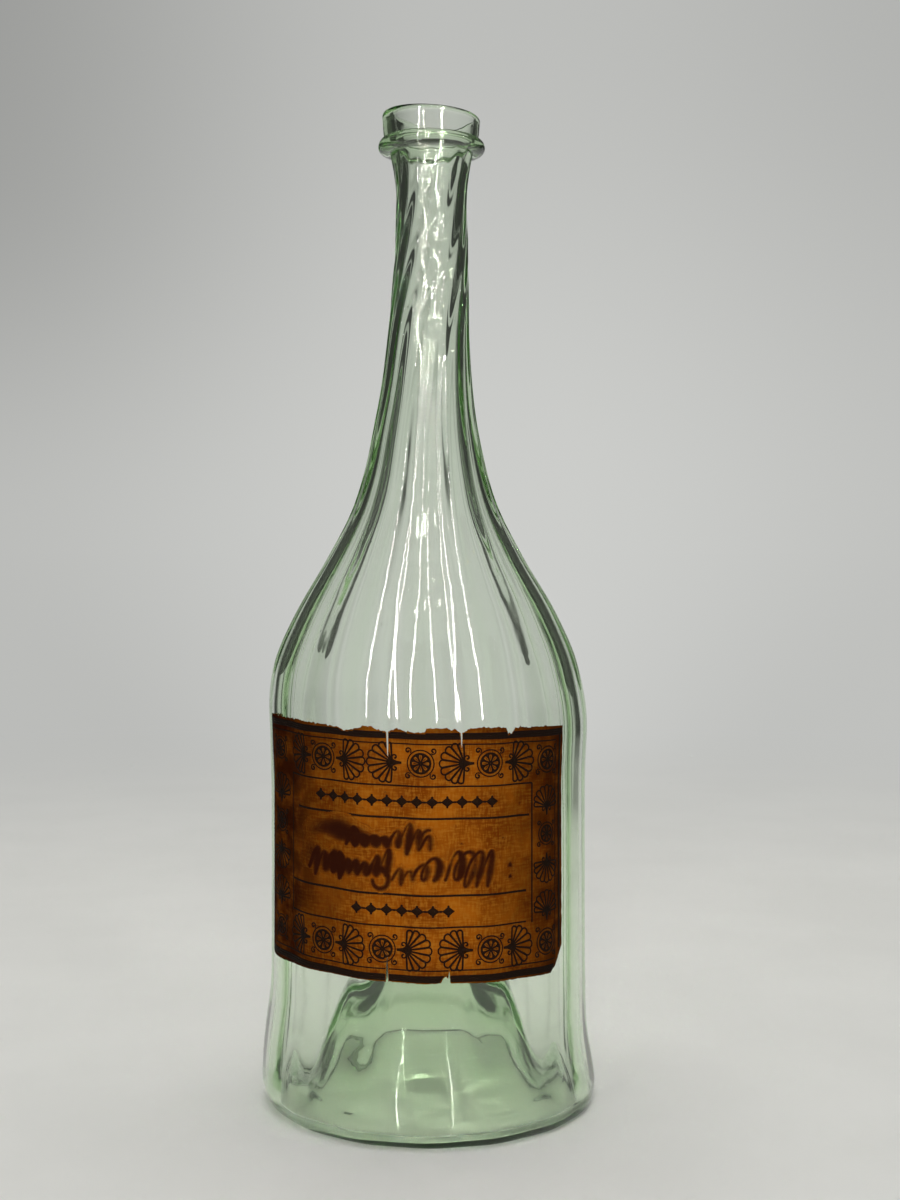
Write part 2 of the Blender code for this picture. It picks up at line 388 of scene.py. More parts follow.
def string_ring_mesh():
    """A thread of glass laid round the neck, a little uneven, with its end lapped."""
    columns, section = 192, 28
    whole = 2 * math.pi
    turns = ring_of_turns(columns)
    lap = (turns - RING_LAP) % whole
    swell = (RING_SWELL * fade(lap, whole - 0.7, whole - 0.12)
             - RING_THIN * (1 - fade(lap, 0.0, 0.5)))
    swell = swell * (1 - fade(lap, whole - 0.05, whole))
    half = (RING_HIGH - RING_LOW) / 2 * (0.92 + 0.05 * np.cos(2 * turns + 1.0) + swell * 0.5)
    level = (RING_LOW + RING_HIGH) / 2 + 0.00018 * np.cos(turns + 0.6)
    reach = RING_RADIUS - 0.00022 * (1 - np.cos(3 * turns + 0.4)) - 0.0002 * (1 - np.cos(turns))
    points = np.zeros((columns, section, 3))
    for column, turn in enumerate(turns):
        for k, angle in enumerate(ring_of_turns(section)):
            up, out = math.sin(angle), math.cos(angle)
            height = level[column] + half[column] * math.copysign(abs(up) ** 0.9, up)
            radius = outer_radius(height) - RING_SINK
            radius += (reach[column] - radius) * out ** 0.75 if out > 0 else RING_FLAT * out
            points[column, k] = at_turn(radius, turn, height)
    faces = grid_faces(columns, section, closed_rows=True, closed_columns=True)
    return closed_mesh("string_ring", lean(points).reshape(-1, 3).tolist(), faces)


SCAR_RADIUS = 0.0090
SCAR_THICKNESS = ((0.0, 0.0011), (0.0045, 0.0009), (0.0078, 0.0008), (SCAR_RADIUS, 0.0003))
SCAR_SINK = 0.00012         # how deep it is melted into the base
SCAR_MIDDLE = 0.0009        # its thickness on the axis
SCAR_SHARE = 0.78           # its mean thickness as a share of SCAR_THICKNESS


def pontil_scar_mesh():
    """The rough disc of glass that the pontil rod left under the pushed-up base."""
    dice = np.random.default_rng(5)
    columns, rings = 72, 16
    turns = ring_of_turns(columns)
    edge = 1 - 0.10 * np.abs(ripples(turns * 2, 0.0, 3, 5, 1.0)) - 0.03 * dice.random(columns)
    rows = []
    for is_underside in (False, True):
        for k in range(1, rings + 1):
            share = 1 - (k - 1) / rings if is_underside else k / rings
            radius = SCAR_RADIUS * share * edge
            height = np.array([through(UNDERSIDE, r) for r in radius])
            if is_underside:
                chips = 0.16 * ripples(turns * 3, share, 8 + k, 6, 0.5) * share
                thickness = through(SCAR_THICKNESS, SCAR_RADIUS * share)
                height -= thickness * (SCAR_SHARE + chips)
            else:
                height += SCAR_SINK
            rows.append(at_turn(radius, turns, height))
    middle = UNDERSIDE[0][1]
    poles = np.array([(0.0, 0.0, middle + SCAR_SINK), (0.0, 0.0, middle - SCAR_MIDDLE)])
    return capped_mesh("pontil_scar", lean(np.array(rows)), lean(poles))


# -------- the label

PAPER_RADIUS = 0.0454       # for turning widths on the paper into angles
PAPER_GAP = 0.00005         # between glass and paper
PAPER_THICKNESS = 0.00014
INK_LIFT = 0.00003          # how far the printing stands above the paper
INK_THICKNESS = 0.00003
WRITING_LIFT = 0.00009      # the pen strokes lie over the printing

LABEL_LEFT, LABEL_RIGHT = -73.5, 55.5
# How far the printing climbs to the left, as the label was pasted askew: (angle, height)
ASKEW = ((LABEL_LEFT, 0.0015), (-54, 0.00105), (0, 0), (38, -0.0004), (LABEL_RIGHT, -0.0007))

# The torn upper edge: (angle, height above its printed line)
TORN_TOP = (
    (LABEL_LEFT, 0.1108), (-66, 0.1112), (-57.8, 0.1107), (-50, 0.1109), (-46.8, 0.1106),
    (-40, 0.1105), (-34.4, 0.1100), (-31, 0.1098), (-29.1, 0.1091), (-25.7, 0.1094),
    (-20.5, 0.1106), (-18.5, 0.1105), (-16.3, 0.1097), (-13, 0.1091), (-12.4, 0.1092),
    (-10.1, 0.1100), (-7.5, 0.1095), (-5.4, 0.1091), (-0.3, 0.1091), (0.1, 0.1103),
    (3, 0.1101), (7.4, 0.1102), (8.6, 0.1095), (9.8, 0.1099), (11.6, 0.1089),
    (12.4, 0.1089), (15.1, 0.1100), (20, 0.1101), (27.9, 0.1099), (28.6, 0.1082),
    (30, 0.1083), (31.9, 0.1096), (44, 0.1094), (LABEL_RIGHT, 0.1088),
)
TORN_BOTTOM = (
    (LABEL_LEFT, 0.0445), (-62, 0.0440), (-47, 0.0443), (-27, 0.0441), (-14, 0.0437),
    (-12, 0.0437), (0, 0.0435), (4.6, 0.0436), (6.2, 0.0437), (8.6, 0.0434), (24, 0.0431),
    (40, 0.0428), (47.5, 0.0427), (49, 0.0436), (50.5, 0.0441), (53, 0.0466),
    (LABEL_RIGHT, 0.0492),
)
# Slits that run in from the edges: (angle, depth, half their width in degrees)
TOP_SLITS = ((-13, 0.0078, 0.30), (12, 0.0042, 0.28))
BOTTOM_SLITS = ((-13.3, 0.0078, 0.40), (7.9, 0.0042, 0.25), (6.6, 0.0016, 1.6))
TEAR_ROUGHNESS = 0.00013
LABEL_COLUMN = 0.45         # degrees between the label's columns
LABEL_ROW = 0.0016          # height between its rows
SLIT_COLUMNS = 9            # columns across a slit
SIDE_ROUGHNESS = 0.12       # degrees
UNROUGHENED = 45            # past this angle the upper edge is smooth
SIDE_MARGIN = 0.3           # degrees of the sides that take no print


def slit_depth(slits, angle):
    """How far the slits cut into the paper's edge at an angle."""
    depths = [depth * math.sqrt(max(0.0, 1 - abs(angle - at) / half))
              for at, depth, half in slits]
    return max(depths)


def paper_edges(angle):
    """Heights of the label's lower and upper edge at an angle."""
    low = np.interp(angle, *zip(*TORN_BOTTOM)) + slit_depth(BOTTOM_SLITS, angle)
    high = np.interp(angle, *zip(*TORN_TOP)) - slit_depth(TOP_SLITS, angle)
    return np.array((low, high))


def across(angle):
    """Distance across the paper from its middle."""
    return math.radians(angle) * PAPER_RADIUS


def on_paper(angle, height, lift):
    """The point over the label at an angle and a height."""
    turn = math.radians(angle)
    radius = outside_radius(turn, height) + PAPER_GAP + lift
    return radius * math.sin(turn), -radius * math.cos(turn), height


def paper_angles():
    """Columns every LABEL_COLUMN degrees, and close together at each slit."""
    columns = list(np.arange(LABEL_LEFT, LABEL_RIGHT, LABEL_COLUMN)) + [LABEL_RIGHT]
    for at, _, half in TOP_SLITS + BOTTOM_SLITS:
        columns = [c for c in columns if abs(c - at) > half]
        columns += list(np.linspace(at - half, at + half, SLIT_COLUMNS))
    return sorted(columns)


def paper_label_mesh():
    """One sheet of paper that follows the glass, torn and slit along its edges."""
    dice = np.random.default_rng(19)
    angles = paper_angles()
    rows = round((TORN_TOP[0][1] - TORN_BOTTOM[0][1]) / LABEL_ROW)
    points, flat = [], []
    for angle in angles:
        high_rag, low_rag = TEAR_ROUGHNESS * dice.normal(size=2)
        low, high = paper_edges(angle) + (0.4 * low_rag, high_rag * (angle < UNROUGHENED))
        is_side = angle in (angles[0], angles[-1])
        for height in np.linspace(low, high, rows + 1):
            at = angle + (SIDE_ROUGHNESS * dice.normal() if is_side else 0.0)
            points.append(on_paper(at, height, 0.0))
            flat.append((across(at), height, 0.0))
    faces = grid_faces(len(angles), rows + 1)
    return sheet_mesh("paper_label", points, faces, flat)


def sheet_mesh(name, points, faces, flat):
    """A smooth open sheet on the label that carries its flat places on the paper.

    The attribute "flat" holds, for each point, its place across and up the paper in metres,
    and a third number: how much ink there is, from 0 at the edge of a stroke.
    """
    points = lean(np.array(points))
    mesh = bpy.data.meshes.new(name)
    mesh.from_pydata([tuple(p) for p in points], [], faces)
    layer = mesh.attributes.new("flat", "FLOAT_VECTOR", "POINT")
    layer.data.foreach_set("vector", np.array(flat, dtype=np.float32).ravel())
    mesh.shade_smooth()
    return mesh


def printed_place(over, up, ink, lift):
    """Where a printed place comes to lie, and what it holds in the attribute "flat"."""
    angle = math.degrees(over / PAPER_RADIUS)
    height = up + through(ASKEW, angle)
    return on_paper(angle, height, lift), (over, height, ink)


def thicken(piece, thickness, face_material=0):
    """Make a sheet solid away from the glass; its new face takes that material slot."""
    sheet = piece.modifiers.new("sheet", "SOLIDIFY")
    sheet.thickness = thickness
    sheet.offset = 1.0
    sheet.material_offset = face_material
    sheet.material_offset_rim = face_material


def paper_holds(place):
    """True if there is paper at a flat place."""
    angle = math.degrees(place[0] / PAPER_RADIUS)
    low, high = paper_edges(angle)
    inside = LABEL_LEFT + SIDE_MARGIN < angle < LABEL_RIGHT - SIDE_MARGIN
    return inside and low + TEAR_ROUGHNESS < place[1] < high - TEAR_ROUGHNESS


class Press:
    """Collects the shapes printed on the label: polygons on the flat paper, in metres.

    A place on the paper is (across, up): across from the middle of the label, and up from
    the surface that the bottle stands on, before the label was pasted askew.
    """

    def __init__(self):
        self.points = []
        self.faces = []

    def ribbon(self, line, widths, closed=False):
        """A stroke along a line of places, as wide as widths says; three points across."""
        line = np.array(line, dtype=float)
        widths = np.broadcast_to(widths, len(line))
        if closed:
            ahead, behind = np.roll(line, -1, axis=0), np.roll(line, 1, axis=0)
            slopes = ahead - behind
        else:
            slopes = np.gradient(line, axis=0)
        slopes /= np.maximum(np.hypot(*slopes.T), 1e-12)[:, None]
        sides = np.column_stack([-slopes[:, 1], slopes[:, 0]]) * widths[:, None] / 2
        start = len(self.points)
        for place, side in zip(line, sides):
            self.points += [tuple(place - side), tuple(place), tuple(place + side)]
        count = len(line)
        for k in range(count if closed else count - 1):
            here, there = start + 3 * k, start + 3 * ((k + 1) % count)
            self.faces += [(here, there, there + 1, here + 1),
                           (here + 1, there + 1, there + 2, here + 2)]

    def motif(self, strokes, middle, turn, size=1.0):
        """Print a motif's strokes, given in millimetres round its middle, turned and placed."""
        cos, sin = math.cos(math.radians(turn)), math.sin(math.radians(turn))
        for line, widths, closed in strokes:
            line = np.array(line, dtype=float) * size / 1000
            placed = np.column_stack([line[:, 0] * cos - line[:, 1] * sin + middle[0],
                                      line[:, 0] * sin + line[:, 1] * cos + middle[1]])
            self.ribbon(placed, np.array(widths) * size / 1000, closed=closed)

    def mesh(self, name, lift):
        """The strokes laid on the paper, without what falls in a slit or past an edge."""
        inks = (0.0, 1.0, 0.0) * (len(self.points) // 3)
        placed = [printed_place(*place, ink, lift) for place, ink in zip(self.points, inks)]
        points, flat = zip(*placed)
        faces = [face for face in self.faces
                 if all(paper_holds(flat[corner]) for corner in face)]
        return sheet_mesh(name, points, faces, flat)


def polar(radius, turn, middle=(0.0, 0.0)):
    return middle[0] + radius * math.cos(turn), middle[1] + radius * math.sin(turn)


def arc(radius, start, end, steps, middle=(0.0, 0.0)):
    return [polar(radius, turn, middle) for turn in np.radians(np.linspace(start, end, steps))]


def ring(radius, width, steps=28):
    return arc(radius, 0, 360 * (1 - 1 / steps), steps), width, True


def spiral(middle, radius, start, sweep):
    """A small scroll that winds in."""
    steps = 14
    turns = np.radians(np.linspace(start, start + sweep, steps))
    sizes = np.linspace(radius, 0.15 * radius, steps)
    line = [polar(size, turn, middle) for turn, size in zip(turns, sizes)]
    return line, np.linspace(0.26, 0.56, steps), False


def rosette():
    """A wheel of eight petals in a double ring, with a scroll at each corner."""
    strokes = [ring(2.35, 0.55), ring(3.25, 0.32), ring(0.28, 0.46, 10)]
    for k in range(8):
        turn = math.radians(45 * k + 22.5)
        line = [polar(r, turn) for r in (0.4, 0.9, 1.5, 1.9, 2.3)]
        strokes.append((line, (0.42, 0.44, 0.50, 0.80, 1.75), False))
        turn = math.radians(45 * k)
        line = [polar(r, turn) for r in (0.9, 1.4, 1.8)]
        strokes.append((line, (0.06, 0.16, 0.05), False))
    for k in range(4):
        corner = 45 + 90 * k
        strokes.append(spiral(polar(4.35, math.radians(corner)), 0.85, 180 + corner, 430))
    return strokes


def palmette():
    """A fan of nine pale lobes between dark ribs that opens along +X, with two scrolls."""
    strokes = []
    root = np.array((-2.5, 0.0))
    spread = 19.5
    widening = math.tan(math.radians(spread / 2)) * 0.93
    for k in range(-4, 5):
        turn = math.radians(spread * k)
        ahead = np.array((math.cos(turn), math.sin(turn)))
        aside = np.array((-ahead[1], ahead[0]))
        length = 4.1 + 1.5 * math.cos(turn)
        half = length * widening
        lobe = [root + ahead * length + (ahead * math.cos(t) * 0.8 + aside * math.sin(t)) * half
                for t in np.linspace(-math.pi / 2, math.pi / 2, 7)]
        sides = [(root + ahead * length * share, length * share * widening)
                 for share in (0.8, 0.6, 0.4, 0.25)]
        left = [place + aside * out for place, out in sides]
        right = [place - aside * out for place, out in sides[::-1]]
        strokes.append((right + lobe + left, 0.40 + 0.02 * abs(k), True))
    strokes.append((arc(0.8, -100, 100, 9, root), 1.3, False))
    strokes.append(([(-4.9, 0.0), (-3.9, 0.0), (-3.0, 0.0), (-2.0, 0.0)],
                    (0.55, 0.80, 1.3, 1.0), False))
    strokes.append(spiral((-3.2, 1.35), 0.85, 270, 400))
    strokes.append(spiral((-3.2, -1.35), 0.85, 90, -400))
    return strokes


# The border: (angle, height, kind, way that a fan opens in degrees)
TOP_BORDER = ((-49.3, "fan", 180), (-37.7, "wheel", 0), (-25.8, "fan", 0), (-14.9, "fan", 180),
              (-1.8, "wheel", 0), (9.6, "fan", 180), (21.7, "wheel", 0), (34, "fan", 0),
              (45.4, "wheel", 0))
BOTTOM_BORDER = ((-50.3, "fan", 180), (-38.0, "wheel", 0), (-26.3, "fan", 0),
                 (-14.9, "wheel", 0), (-3.3, "fan", 0), (9.2, "fan", 180), (22.0, "wheel", 0),
                 (33.6, "fan", 0), (45.3, "wheel", 0))
SIDE_BORDER = ((0.0906, "fan", 90), (0.0811, "wheel", 0), (0.0714, "fan", -90),
               (0.0624, "fan", 90))
TOP_BORDER_HEIGHT, BOTTOM_BORDER_HEIGHT = 0.1010, 0.0521
RIGHT_BORDER, LEFT_BORDER = 45.4, -63.0
MOTIF_SIZE, SIDE_SIZE = 1.08, 0.92

FRAME_LEFT, FRAME_RIGHT = -54.8, 38.8


def print_border():
    """The printed ornaments round the label."""
    press = Press()
    shapes = {"fan": palmette(), "wheel": rosette()}
    for height, border in ((TOP_BORDER_HEIGHT, TOP_BORDER), (BOTTOM_BORDER_HEIGHT, BOTTOM_BORDER)):
        for angle, kind, turn in border:
            press.motif(shapes[kind], (across(angle), height), turn, MOTIF_SIZE)
    for angle in (RIGHT_BORDER, LEFT_BORDER):
        for height, kind, turn in SIDE_BORDER:
            press.motif(shapes[kind], (across(angle), height), turn, SIDE_SIZE)
    for height in (TOP_BORDER_HEIGHT, BOTTOM_BORDER_HEIGHT):
        press.motif(shapes["wheel"], (across(LEFT_BORDER), height), 0, SIDE_SIZE)
    return press.mesh("border_print", INK_LIFT)


# Printed rules: (from angle, to angle, height, width)
RULES = (
    (FRAME_LEFT, FRAME_RIGHT, 0.0950, 0.00042),
    (-50.5, 37.7, 0.0866, 0.00055),
    (FRAME_LEFT, 36.4, 0.0665, 0.00055),
    (FRAME_LEFT, 36.4, 0.0582, 0.00042),
    (-68, 50.2, 0.1060, 0.00034),
    (-68, 50.2, 0.0469, 0.00034),
)
# Heavy rules near the edges: (from angle, to angle, height, width)
HEAVY_RULES = ((LABEL_LEFT + 0.8, 54.9, 0.1081, 0.0018),
               (LABEL_LEFT + 0.8, 49.5, 0.0447, 0.0018))
# Upright rules: (angle, from height, to height, width)
UPRIGHTS = ((FRAME_LEFT, 0.0578, 0.0952, 0.00036), (FRAME_RIGHT, 0.0578, 0.0950, 0.00042),
            (50.4, 0.0470, 0.1058, 0.00034), (53.9, 0.0478, 0.1088, 0.0022),
            (LABEL_LEFT + 2, 0.0452, 0.1080, 0.0018))
# Rows of small ornaments where the real label has its lines of type:
# (from angle, to angle, height, size, pieces)
ORNAMENT_ROWS = ((-39, 22.5, 0.0909, 1.5, 25), (-24, 7.5, 0.0624, 1.5, 13))
DOT_RISE = 0.00125          # how far the dots over and under a lozenge are from its middle


def lozenge(size):
    """A lozenge with pointed ends, as a stroke that is widest in its middle."""
    return [(-size, 0.0), (0.0, 0.0), (size, 0.0)], (0.02, 1.5 * size, 0.02), False


def dash(size):
    line = [(share * size, 0.0) for share in (-1.0, -0.3, 0.3, 1.0)]
    return line, (0.08, 0.34, 0.34, 0.08), False


def level_line(start, end, height, steps):
    return [(across(angle), height) for angle in np.linspace(start, end, steps)]


def print_rules():
    """The printed rules and the rows of small ornaments between them."""
    press = Press()
    for start, end, height, width in RULES:
        press.ribbon(level_line(start, end, height, 300), width)
    for start, end, height, width in HEAVY_RULES:
        for share in (-1 / 3, 0.0, 1 / 3):
            press.ribbon(level_line(start, end, height + share * width, 400), width / 3)
    for angle, low, high, width in UPRIGHTS:
        press.ribbon([(across(angle), height) for height in np.linspace(low, high, 40)], width)
    for start, end, height, size, pieces in ORNAMENT_ROWS:
        for k, angle in enumerate(np.linspace(start, end, pieces)):
            over = across(angle)
            if k % 2 == 1:
                press.motif([dash(0.62)], (over, height), 0, size)
                continue
            press.motif([lozenge(1.15)], (over, height), 0, size)
            for rise in (DOT_RISE, -DOT_RISE):
                press.motif([ring(0.12, 0.22, 8)], (over, height + rise), 0, size)
    return press.mesh("rule_print", INK_LIFT)


PEN_CELL = 0.0002           # spacing of the points that carry the pen's ink
PEN_AREA = ((-52, 34), (0.0640, 0.0895))    # angles and heights that it may reach
PEN_TRACE = 0.05            # less ink than this doesn't show
TAIL_STEPS, FLICK_STEPS = 60, 24
# Lines of writing: (from angle, to angle, height, height of a stroke, strokes, seed)
SCRAWLS = ((-28, 1.5, 0.0790, 0.0036, 8, 3), (-44, -13.5, 0.0712, 0.0040, 9, 5),
           (-11.5, 2.5, 0.0707, 0.0033, 4, 8), (6.5, 21.5, 0.0707, 0.0042, 4, 13))
# Smears of run ink: (angle, height, width, height of it, ink)
SMEARS = ((-33, 0.0824, 0.0120, 0.0084, 1.30), (-25, 0.0812, 0.0100, 0.0070, 0.85),
          (-17, 0.0800, 0.0080, 0.0060, 0.50), (-33, 0.0735, 0.0050, 0.0105, 1.10),
          (-26, 0.0730, 0.0100, 0.0066, 0.75), (-43, 0.0752, 0.0050, 0.0120, 0.65),
          (-17, 0.0722, 0.0055, 0.0050, 0.35), (8, 0.0735, 0.0040, 0.0060, 0.35),
          (-4, 0.0815, 0.0040, 0.0040, 0.25), (17, 0.0722, 0.0055, 0.0040, 0.25),
          (29.6, 0.0738, 0.0014, 0.0026, 1.2), (29.6, 0.0708, 0.0012, 0.0022, 1.2),
          (12, 0.0800, 0.0010, 0.0012, 0.8), (26.5, 0.0812, 0.0009, 0.0010, 0.8))


def scrawl(start, end, height, size, strokes, seed):
    """A line of leaning up and down strokes that spell nothing: its places, widths and inks."""
    dice = np.random.default_rng(seed)
    per = 70
    steps = strokes * per
    marks = np.arange(steps)
    turns = 2 * math.pi * marks / per
    tall = np.interp(marks, marks[::per], dice.choice((0.55, 0.7, 0.85, 1.7), strokes))
    wide = np.interp(marks, marks[::per], dice.choice((0.04, 0.12, 0.42), strokes))
    rise = size * tall * (1 - np.cos(turns)) / 2
    drop = size * np.interp(marks, marks[::per], dice.choice((0.0, 0.0, 0.10, 0.45), strokes))
    low = drop * np.maximum(0.0, np.cos(turns)) ** 3
    over = np.linspace(across(start), across(end), steps)
    line = np.column_stack([over - wide * size * np.sin(turns) + 0.28 * (rise - low),
                            height + rise - low])
    widths = 0.0007 + 0.0009 * np.maximum(0.0, -np.sin(turns))
    inks = np.interp(marks, marks[::20], dice.uniform(0.55, 1.35, len(marks[::20])))
    return line, widths, inks


def pen_strokes():
    """Faded, illegible pen work that has run: strokes, a long tail, a flick and smears."""
    (left, right), (low, high) = PEN_AREA
    overs = np.arange(across(left), across(right), PEN_CELL)
    ups = np.arange(low, high, PEN_CELL)
    over, up = np.meshgrid(overs, ups)
    strokes = [scrawl(*each) for each in SCRAWLS]
    turns = np.linspace(0.2, 4.6, TAIL_STEPS)
    tail = np.column_stack([across(-16.0) + 0.0030 * np.sin(turns) * np.exp(-turns * 0.12),
                            0.0700 + 0.0032 * np.cos(turns) * (1 - 0.10 * turns)])
    strokes.append((tail, np.linspace(0.0012, 0.0008, TAIL_STEPS), np.full(TAIL_STEPS, 1.0)))
    along = np.linspace(0.0, 1.2, FLICK_STEPS)
    flick = np.column_stack([across(-2.0) + 0.0022 * along,
                             0.0815 + 0.0042 * along - 0.002 * along ** 2])
    strokes.append((flick, np.linspace(0.0011, 0.0006, FLICK_STEPS),
                    np.full(FLICK_STEPS, 0.9)))
    ink = np.zeros_like(over)
    for line, widths, inks in strokes:
        for place, width, strength in zip(line, widths, inks):
            distance = np.hypot(over - place[0], up - place[1]) / width
            ink = np.maximum(ink, strength * np.clip(1.15 - distance, 0.0, 1.0))
    for angle, height, width, tall, strength in SMEARS:
        aside, above = (over - across(angle)) / width, (up - height) / (tall / 2)
        turn = np.arctan2(above, aside)
        wobble = 1 + 0.12 * np.cos(3 * turn + 0.7 * angle) + 0.07 * np.cos(5 * turn)
        distance = np.hypot(aside, above) / wobble
        ink = ink + strength * np.clip(1 - distance, 0.0, 1.0) ** 1.2
    return ink_sheet("pen_strokes", overs, ups, ink)


def ink_sheet(name, overs, ups, ink):
    """The part of a grid over the paper that has ink on it."""
    number = np.full(ink.shape, -1)
    points, flat, faces = [], [], []
    wet = ink > PEN_TRACE
    cells = wet[:-1, :-1] | wet[1:, :-1] | wet[:-1, 1:] | wet[1:, 1:]
    for row, column in np.argwhere(cells):
        corners = ((row, column), (row, column + 1), (row + 1, column + 1), (row + 1, column))
        for corner in corners:
            if number[corner] < 0:
                number[corner] = len(points)
                point, place = printed_place(float(overs[corner[1]]), float(ups[corner[0]]),
                                             float(ink[corner]), WRITING_LIFT)
                points.append(point)
                flat.append(place)
        faces.append([int(number[corner]) for corner in corners])
    return sheet_mesh(name, points, faces, flat)


# -------- materials

GLASS_TINT = (0.333, 0.70, 0.133)   # what a depth of glass lets through
PAPER_GLOSS = 0.01          # specular level of paper and ink
PAPER_LIGHT = (0.43, 0.116, 0.005)
PAPER_DARK = (0.23, 0.050, 0.002)
PAPER_THREAD = (0.50, 0.185, 0.016)
PAPER_SPOT = (0.10, 0.020, 0.004)
PAPER_STAIN = (0.20, 0.050, 0.005)
# Dirt at the label's torn edges, and also painted shade towards its left and right sides
PAPER_GRIME_AND_SHADE = (0.022, 0.003, 0.0006)
PAPER_BACK = (0.36, 0.24, 0.12)
DRIED_PASTE = (0.25, 0.14, 0.055)
PRINT_INK = (0.012, 0.008, 0.006)
PEN_INK = (0.030, 0.006, 0.003)


def feed(node, inputs):
    """Give a node's inputs, by name or number, a socket, a number or a colour each."""
    for name, value in inputs.items():
        socket = node.inputs[name]
        if isinstance(value, bpy.types.NodeSocket):
            node.id_data.links.new(value, socket)
        elif socket.type == "RGBA":
            socket.default_value = (*value, 1.0)
        else:
            socket.default_value = value


def add_node(tree, kind, inputs=None, **settings):
    node = tree.nodes.new("ShaderNode" + kind)
    for name, value in settings.items():
        setattr(node, name, value)
    feed(node, inputs or {})
    return node


def new_material(name):
    """A material, its node tree and its main shader."""
    made = bpy.data.materials.new(name)
    made.use_nodes = True
    return made, made.node_tree, made.node_tree.nodes["Principled BSDF"]


def object_place(tree):
    return add_node(tree, "TexCoord").outputs["Object"]


def split_vector(tree, vector):
    return add_node(tree, "SeparateXYZ", {"Vector": vector}).outputs


def link_noise(tree, scale, detail=3.0, vector=None, stretch=None):
    """Noise over object coordinates, or over a given vector."""
    if vector is None:
        vector = object_place(tree)
    if stretch:
        mapping = add_node(tree, "Mapping", {"Vector": vector, "Scale": stretch})
        vector = mapping.outputs["Vector"]
    noise = add_node(tree, "TexNoise", {"Vector": vector, "Scale": scale, "Detail": detail})
    return noise.outputs["Fac"]


def to_range(tree, value, low_in, high_in, low_out, high_out):
    """The value carried smoothly from one range to another, and held at the ends."""
    ranges = {"From Min": low_in, "From Max": high_in, "To Min": low_out, "To Max": high_out}
    node = add_node(tree, "MapRange", {"Value": value, **ranges},
                    interpolation_type="SMOOTHSTEP")
    return node.outputs["Result"]


def mix_colours(tree, share, first, second):
    """Mix two colours, each a socket or three numbers, by a socket."""
    factor, colour_a, colour_b, result = 0, 6, 7, 2
    inputs = {factor: share, colour_a: first, colour_b: second}
    return add_node(tree, "Mix", inputs, data_type="RGBA").outputs[result]


def math_node(tree, operation, *values):
    return add_node(tree, "Math", dict(enumerate(values)), operation=operation).outputs[0]


def product(tree, first, *others):
    for other in others:
        first = math_node(tree, "MULTIPLY", first, other)
    return first


def total(tree, first, *others):
    for other in others:
        first = math_node(tree, "ADD", first, other)
    return first


def bump(tree, height, strength, distance):
    node = add_node(tree, "Bump", {"Height": height, "Strength": strength, "Distance": distance})
    return node.outputs["Normal"]


def glass_material(name, density, roughness, striae, stria_depth):
    """Old green bottle glass: the colour is in its depth, the surface has fine striae.

    Density is how strongly it colours, roughness runs from clean to worn glass, and striae
    is the scale of the fine lines.
    """
    made, tree, shader = new_material(name)
    wear = link_noise(tree, 60.0, 4.0)
    lines = link_noise(tree, striae, 2.0, stretch=(1.0, 1.0, 0.16))
    feed(shader, {"Base Color": (1.0, 1.0, 1.0), "Transmission Weight": 1.0, "IOR": 1.5,
                  "Roughness": to_range(tree, wear, 0.58, 0.80, *roughness),
                  "Normal": bump(tree, lines, 1.0, stria_depth)})
    volume = add_node(tree, "VolumeAbsorption", {"Color": GLASS_TINT, "Density": density})
    feed(tree.nodes["Material Output"], {"Volume": volume.outputs["Volume"]})
    return made


def label_material(name):
    """A matte material for the label, and the flat place that its patterns follow."""
    made, tree, shader = new_material(name)
    feed(shader, {"Specular IOR Level": PAPER_GLOSS})
    flat = add_node(tree, "Attribute", attribute_name="flat").outputs["Vector"]
    return made, tree, shader, flat


def paper_colour(tree, flat):
    """Colour of the old paper from its flat place: fibres, blotches, stains, dirty edges, and
    painted shade that darkens its left and right sides.
    """
    over, up, _ = split_vector(tree, flat)
    cloud = to_range(tree, link_noise(tree, 90.0, 4.0, flat), 0.34, 0.68, 0.0, 1.0)
    laid = link_noise(tree, 950.0, 2.0, flat, stretch=(0.35, 1.9, 0.0))
    chain = link_noise(tree, 950.0, 2.0, flat, stretch=(1.8, 0.40, 0.0))
    weave = to_range(tree, total(tree, laid, chain), 0.85, 1.30, 0.0, 0.70)
    foxing = to_range(tree, link_noise(tree, 420.0, 3.0, flat), 0.66, 0.76, 0.0, 0.7)
    stain = to_range(tree, link_noise(tree, 38.0, 3.0, flat), 0.48, 0.72, 0.0, 0.65)
    colour = mix_colours(tree, cloud, PAPER_DARK, PAPER_LIGHT)
    for share, laid_over in ((weave, PAPER_THREAD), (foxing, PAPER_SPOT), (stain, PAPER_STAIN)):
        colour = mix_colours(tree, share, colour, laid_over)
    # Partly dirt, partly painted shade: the paper darkens towards its left and right sides, where
    # the label turns away from the light.
    left = to_range(tree, over, across(-60.0), across(-8.0), 0.96, 0.0)
    right = to_range(tree, over, across(6.0), across(52.0), 0.0, 0.90)
    below = to_range(tree, up, 0.0425, 0.0500, 0.55, 0.0)
    above = to_range(tree, up, 0.1030, 0.1110, 0.0, 0.60)
    grime_and_shade = to_range(tree, link_noise(tree, 150.0, 4.0, flat), 0.30, 0.62, 0.70, 1.0)
    for edge in (left, right, below, above):
        colour = mix_colours(tree, product(tree, edge, grime_and_shade), colour, PAPER_GRIME_AND_SHADE)
    return colour


def paper_material():
    """Brown laid paper with matte fibres."""
    made, tree, shader, flat = label_material("aged_paper")
    fibres = link_noise(tree, 900.0, 3.0, flat, stretch=(0.4, 1.0, 0.0))
    feed(shader, {"Base Color": paper_colour(tree, flat),
                  "Roughness": to_range(tree, fibres, 0.3, 0.7, 0.62, 0.82),
                  "Normal": bump(tree, fibres, 0.7, 0.00008)})
    return made


